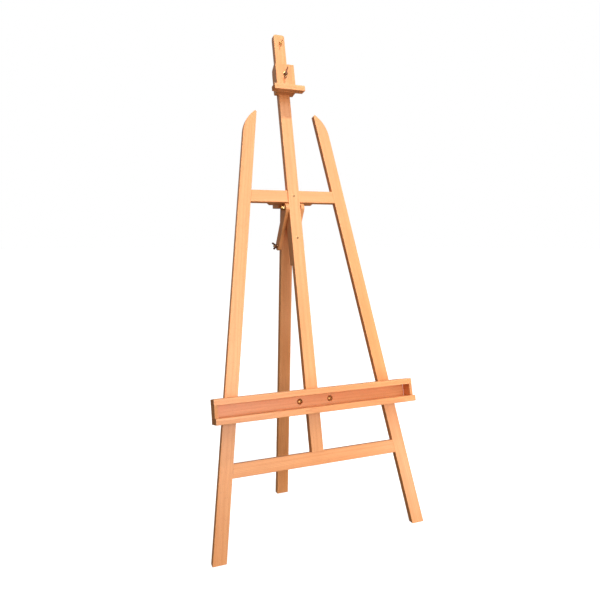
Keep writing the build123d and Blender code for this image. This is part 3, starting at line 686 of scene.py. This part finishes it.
def screw_blank(name):
    """Countersunk screw with a cross recess; its head is at Z = 0 and it points down."""
    sides, head, shank, length = 48, 4.0 * MM, 2.0 * MM, 24 * MM
    cross_reach, cross_half_width, cross_depth = 0.62 * head, 0.62 * MM, 2.0 * MM
    rows = [(f * head, None) for f in (0.1, 0.2, 0.3, 0.4, 0.5, 0.6, 0.7, 0.8, 0.93)]
    rows += [(head, -0.12 * MM), (head * 0.99, -0.35 * MM), (shank, -2.2 * MM),
             (shank, -length + 6 * MM), (0.3 * MM, -length)]
    vertices, faces = [(0, 0, -2.1 * MM)], []
    for radius, height in rows:
        for k in range(sides):
            a = 2 * pi * k / sides
            x, y = radius * cos(a), radius * sin(a)
            z = height
            if z is None:
                z = 0.12 * MM * (1 - (radius / head) ** 2)
                if min(abs(x), abs(y)) < cross_half_width and radius < cross_reach:
                    z = -cross_depth * (1 - 0.75 * radius / cross_reach)
            vertices.append((x, y, z))
    for k in range(sides):
        faces.append((0, 1 + k, 1 + (k + 1) % sides))
    for row in range(len(rows) - 1):
        a, b = 1 + row * sides, 1 + (row + 1) * sides
        faces += [(a + k, b + k, b + (k + 1) % sides, a + (k + 1) % sides) for k in range(sides)]
    last = 1 + (len(rows) - 1) * sides
    faces.append(tuple(last + k for k in reversed(range(sides))))
    return mesh_piece(name, vertices, faces, smooth=False)


def driven_screws_tree(material, blank):
    """Geometry Nodes tree that drives a copy of the blank at each point, turned at random."""
    tree = bpy.data.node_groups.new("driven_screws", "GeometryNodeTree")
    tree.interface.new_socket("Geometry", in_out="INPUT", socket_type="NodeSocketGeometry")
    for name, kind, value in (("Aim", "NodeSocketVector", (0, 0, 1)), ("Size", "NodeSocketFloat", 1.0),
                              ("Seed", "NodeSocketInt", 1)):
        tree.interface.new_socket(name, in_out="INPUT", socket_type=kind).default_value = value
    tree.interface.new_socket("Geometry", in_out="OUTPUT", socket_type="NodeSocketGeometry")

    def node(kind, settings=None, **values):
        made = tree.nodes.new(kind)
        for key, value in (settings or {}).items():
            setattr(made, key, value)
        for key, value in values.items():
            socket = made.inputs[key.replace("_", " ")]
            if isinstance(value, bpy.types.NodeSocket):
                tree.links.new(value, socket)
            else:
                socket.default_value = value
        return made

    given = node("NodeGroupInput")
    source = node("GeometryNodeObjectInfo", {"transform_space": "ORIGINAL"}, Object=blank)
    turn = node("FunctionNodeRandomValue", {"data_type": "FLOAT"})
    turn.inputs[3].default_value = 2 * pi
    tree.links.new(given.outputs["Seed"], turn.inputs["Seed"])
    aim = node("FunctionNodeAlignRotationToVector", {"axis": "Z"}, Vector=given.outputs["Aim"])
    spun = node("FunctionNodeAxisAngleToRotation", None, Angle=turn.outputs[1])
    driven = node("FunctionNodeRotateRotation", {"rotation_space": "LOCAL"}, Rotation=aim.outputs[0])
    tree.links.new(spun.outputs[0], driven.inputs[1])
    copies = node("GeometryNodeInstanceOnPoints", None, Points=given.outputs["Geometry"],
                  Instance=source.outputs["Geometry"], Rotation=driven.outputs[0])
    tree.links.new(given.outputs["Size"], copies.inputs["Scale"])
    real = node("GeometryNodeRealizeInstances", None, Geometry=copies.outputs[0])
    finished = node("GeometryNodeSetMaterial", None, Geometry=real.outputs[0], Material=material)
    leave = node("NodeGroupOutput")
    tree.links.new(finished.outputs[0], leave.inputs[0])
    return tree


def drive_screws():
    """Drive every run of wood screws; a run's size is relative to the blank."""
    blank = screw_blank("screw_blank")
    mark_wear(blank)
    tree = driven_screws_tree(SCREW_FINISH, blank)
    keys = {item.name: item.identifier for item in tree.interface.items_tree if item.in_out == "INPUT"}
    runs = (("mast_countersunk_screws", "mast_screws", FRONT, "frame", 1.125),
            ("batten_countersunk_screws", "batten_screws", BEHIND, "frame", 1.0),
            ("tray_countersunk_screws", "tray_screws", BEHIND, "tray", 1.0),
            ("keeper_countersunk_screws", "keeper_screws", BEHIND, "canvas_holder", 0.62))
    for seed, (name, node, axis, body, size) in enumerate(runs, 11):
        points = mesh_piece(name, seats_of(node, axis), [])
        drive = points.modifiers.new("drive", "NODES")
        drive.node_group = tree
        drive[keys["Aim"]] = tuple(axis)
        drive[keys["Size"]] = size
        drive[keys["Seed"]] = seed
        screws = applied(points)
        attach(screws, body)
        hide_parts(node)
    bpy.data.objects.remove(blank)
    for node in ("stop_block_screws", "lip_screws"):
        paint(node, SCREW_FINISH)


# --- Studio ------------------------------------------------------------------------------
def lay_floor():
    """Wide pale floor whose edge is far outside every view."""
    size, rings, sides = 40.0, 24, 96
    profile = [(size * (k / rings) ** 2, 0) for k in range(rings, -1, -1)]
    floor = turned("studio_floor", profile, sides)
    material, start, shader = new_material("pale_floor", {
        "IOR": 1.4, "Emission Color": (1.0, 1.0, 1.0, 1.0), "Emission Strength": 0.86})
    place = start.add("ShaderNodeTexCoord", None, None, "Object")
    tone = place.noise(3.0, 0.5, 1.3).rise(0.2, 0.8).blend((0.40, 0.40, 0.395), (0.44, 0.44, 0.435))
    feed(shader, start, Base_Color=tone, Roughness=place.noise(2.0, 0.5, 6.0) * 0.1 + 0.72)
    floor.data.materials.append(material)
    floor.visible_diffuse = floor.visible_glossy = False


def light(name, place, aim, size, power, tint=(1, 1, 1)):
    """Round soft lamp at a place, turned towards an aim."""
    lamp = bpy.data.lights.new(name, "AREA")
    lamp.shape, lamp.size, lamp.energy, lamp.color = "DISK", size, power, tint
    stand = bpy.data.objects.new(name, lamp)
    bpy.context.scene.collection.objects.link(stand)
    stand.location = place
    stand.rotation_euler = (Vector(aim) - Vector(place)).to_track_quat("-Z", "Y").to_euler()


def flagged_key(name, place, edge, power):
    """High spot lamp that lights the easel from the given edge upwards."""
    half_cone, lamp_radius, edge_blur = radians(35), 0.16, 0.02
    lamp = bpy.data.lights.new(name, "SPOT")
    lamp.energy, lamp.shadow_soft_size = power, lamp_radius
    lamp.spot_size, lamp.spot_blend = 2 * half_cone, edge_blur
    stand = bpy.data.objects.new(name, lamp)
    bpy.context.scene.collection.objects.link(stand)
    stand.location = place
    to_edge = Vector(edge) - Vector(place)
    aim = Matrix.Rotation(half_cone, 3, "X") @ to_edge
    stand.rotation_euler = aim.to_track_quat("-Z", "Y").to_euler()


def light_studio():
    scene = bpy.context.scene
    world = bpy.data.worlds.new("studio")
    scene.world = world
    world.use_nodes = True
    tree = world.node_tree
    start = Wire(tree)
    direction = start.add("ShaderNodeTexCoord", None, None, "Generated")
    above = direction.part(2).rise(-0.25, 0.35)
    lit = above.blend((0.10, 0.078, 0.055), (0.46, 0.445, 0.42))
    seen = start.add("ShaderNodeLightPath", None, None, "Is Camera Ray")
    shown = seen.blend(lit, (1.0, 1.0, 1.0))
    background = tree.nodes["Background"]
    tree.links.new(shown.socket, background.inputs["Color"])
    flagged_key("key", place=(0.08, -2.03, 6.70), edge=(0.0, -0.15, 0.32), power=1190.0)
    light("veil", place=(0.95, -1.9, 2.6), aim=(0.0, 0.1, 1.25), size=1.5, power=20.0)
    light("front_fill", place=(0.1, -3.1, 1.25), aim=(0.0, 0.0, 0.45), size=1.6, power=48.0)
    light("low_fill", place=(1.15, -0.9, 0.12), aim=(0.2, -0.15, 0.2), size=0.6, power=11.0,
          tint=(1.0, 0.97, 0.93))
    scene.view_settings.view_transform = "Standard"


def set_camera():
    camera = bpy.data.cameras.new("camera")
    camera.sensor_width, camera.lens = 36.0, 35.18
    camera.shift_y = -0.058
    stand = bpy.data.objects.new("camera", camera)
    bpy.context.scene.collection.objects.link(stand)
    stand.location = (-0.797, -1.9374, 1.018)
    stand.rotation_euler = (radians(90 - 3.074), 0, radians(-22.401))
    bpy.context.scene.camera = stand


finish_timber()
link_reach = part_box("right_hinge_link")[1].x + AIR
fit_pivot(link_reach)
fit_lock(link_reach)
fit_tray()
fit_holder()
fit_top_stop()
drive_screws()
lay_floor()
light_studio()
set_camera()

bpy.context.view_layer.update()
